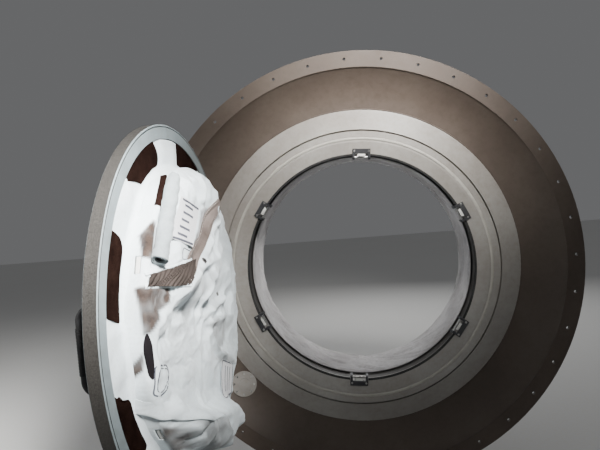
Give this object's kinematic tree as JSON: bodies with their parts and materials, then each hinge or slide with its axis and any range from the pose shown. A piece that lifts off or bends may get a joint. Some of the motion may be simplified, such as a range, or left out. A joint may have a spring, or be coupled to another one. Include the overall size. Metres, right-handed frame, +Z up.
{
  "type": "spacecraft pressure hatch with bulkhead ring",
  "caption": "Round pressure hatch with a cloth-covered hinged door and radial latch dogs, in a dished end bulkhead with a short transfer tunnel.",
  "frame": {"origin": "centre of the mounting flange's bolt circle, on its outboard face", "axes": "+Y outboard along the hatch axis, +Z up, +X to the right seen by the crew inside"},
  "size_m": [1.4898, 1.3737, 1.4898],
  "materials": {
    "structure_paint": "satin",
    "ring_metal": "satin",
    "door_paint": "satin",
    "machined_metal": "brushed",
    "steel": "satin",
    "seal_rubber": "matt",
    "seal_silicone": "matt",
    "white_cloth": "matt",
    "liner_cloth": "matt",
    "brown_patch": "matt",
    "dark_paint": "matt"
  },
  "bodies": {
    "bulkhead": {"mounting_flange": "structure_paint", "end_dome": "structure_paint", "hatch_ring": "ring_metal", "ring_seal": "seal_silicone", "lip_bead": "seal_rubber", "keeper_brackets": "machined_metal", "keeper_rollers": "steel", "tunnel_tube": "machined_metal", "tunnel_flange": "machined_metal", "tunnel_liner": "liner_cloth", "tunnel_gussets": "structure_paint", "feedthrough_cover": "ring_metal", "hinge_brackets": "machined_metal", "hinge_pins": "steel"},
    "door": {"door_ring": "door_paint", "drum_wall": "door_paint", "drum_plate": "door_paint", "hinge_arms": "machined_metal", "gearbox_housing": "machined_metal", "gearbox_cover": "machined_metal", "rod_guides": "machined_metal", "vent_valve": "machined_metal", "vent_bar": "dark_paint", "pressure_gauge": "dark_paint", "grab_handle": "dark_paint", "drum_cover": "white_cloth", "cover_skirt": "white_cloth", "fastening_patches": "brown_patch", "upper_bag": "white_cloth", "lower_bag": "white_cloth", "bag_roll": "white_cloth"},
    "latch_handle": {"latch_handle": "steel"},
    "dog_1": {"latch_dog_1": "steel"},
    "dog_2": {"latch_dog_2": "steel"},
    "dog_3": {"latch_dog_3": "steel"},
    "dog_4": {"latch_dog_4": "steel"},
    "dog_5": {"latch_dog_5": "steel"},
    "dog_6": {"latch_dog_6": "steel"}
  },
  "joints": [
    {"name": "door_hinge", "type": "hinge", "parent": "bulkhead", "child": "door", "pos_m": [-0.51, -0.054, 0], "axis": [0, 0, -1], "range_deg": [-92, 8]},
    {"name": "handle_turn", "type": "hinge", "parent": "door", "child": "latch_handle", "pos_m": [-0.47383, -0.56557, 0], "axis": [-0.9994, 0.0349, 0], "range_deg": [0, 90]},
    {"name": "dog_1_slide", "type": "slide", "parent": "door", "child": "dog_1", "axis": [-0.0316, -0.9058, 0.4226], "range_m": [0, 0.032]},
    {"name": "dog_2_slide", "type": "slide", "parent": "door", "child": "dog_2", "axis": [-0.003, -0.0871, 0.9962], "range_m": [0, 0.032]},
    {"name": "dog_3_slide", "type": "slide", "parent": "door", "child": "dog_3", "axis": [0.0286, 0.8187, 0.5736], "range_m": [0, 0.032]},
    {"name": "dog_4_slide", "type": "slide", "parent": "door", "child": "dog_4", "axis": [0.0316, 0.9058, -0.4226], "range_m": [0, 0.032]},
    {"name": "dog_5_slide", "type": "slide", "parent": "door", "child": "dog_5", "axis": [0.003, 0.0871, -0.9962], "range_m": [0, 0.032]},
    {"name": "dog_6_slide", "type": "slide", "parent": "door", "child": "dog_6", "axis": [-0.0286, -0.8187, -0.5736], "range_m": [0, 0.032]}
  ],
  "couplings": [
    {"joint": "dog_1_slide", "follows": "handle_turn", "m_per_rad": 0.02037},
    {"joint": "dog_2_slide", "follows": "handle_turn", "m_per_rad": 0.02037},
    {"joint": "dog_3_slide", "follows": "handle_turn", "m_per_rad": 0.02037},
    {"joint": "dog_4_slide", "follows": "handle_turn", "m_per_rad": 0.02037},
    {"joint": "dog_5_slide", "follows": "handle_turn", "m_per_rad": 0.02037},
    {"joint": "dog_6_slide", "follows": "handle_turn", "m_per_rad": 0.02037}
  ]
}
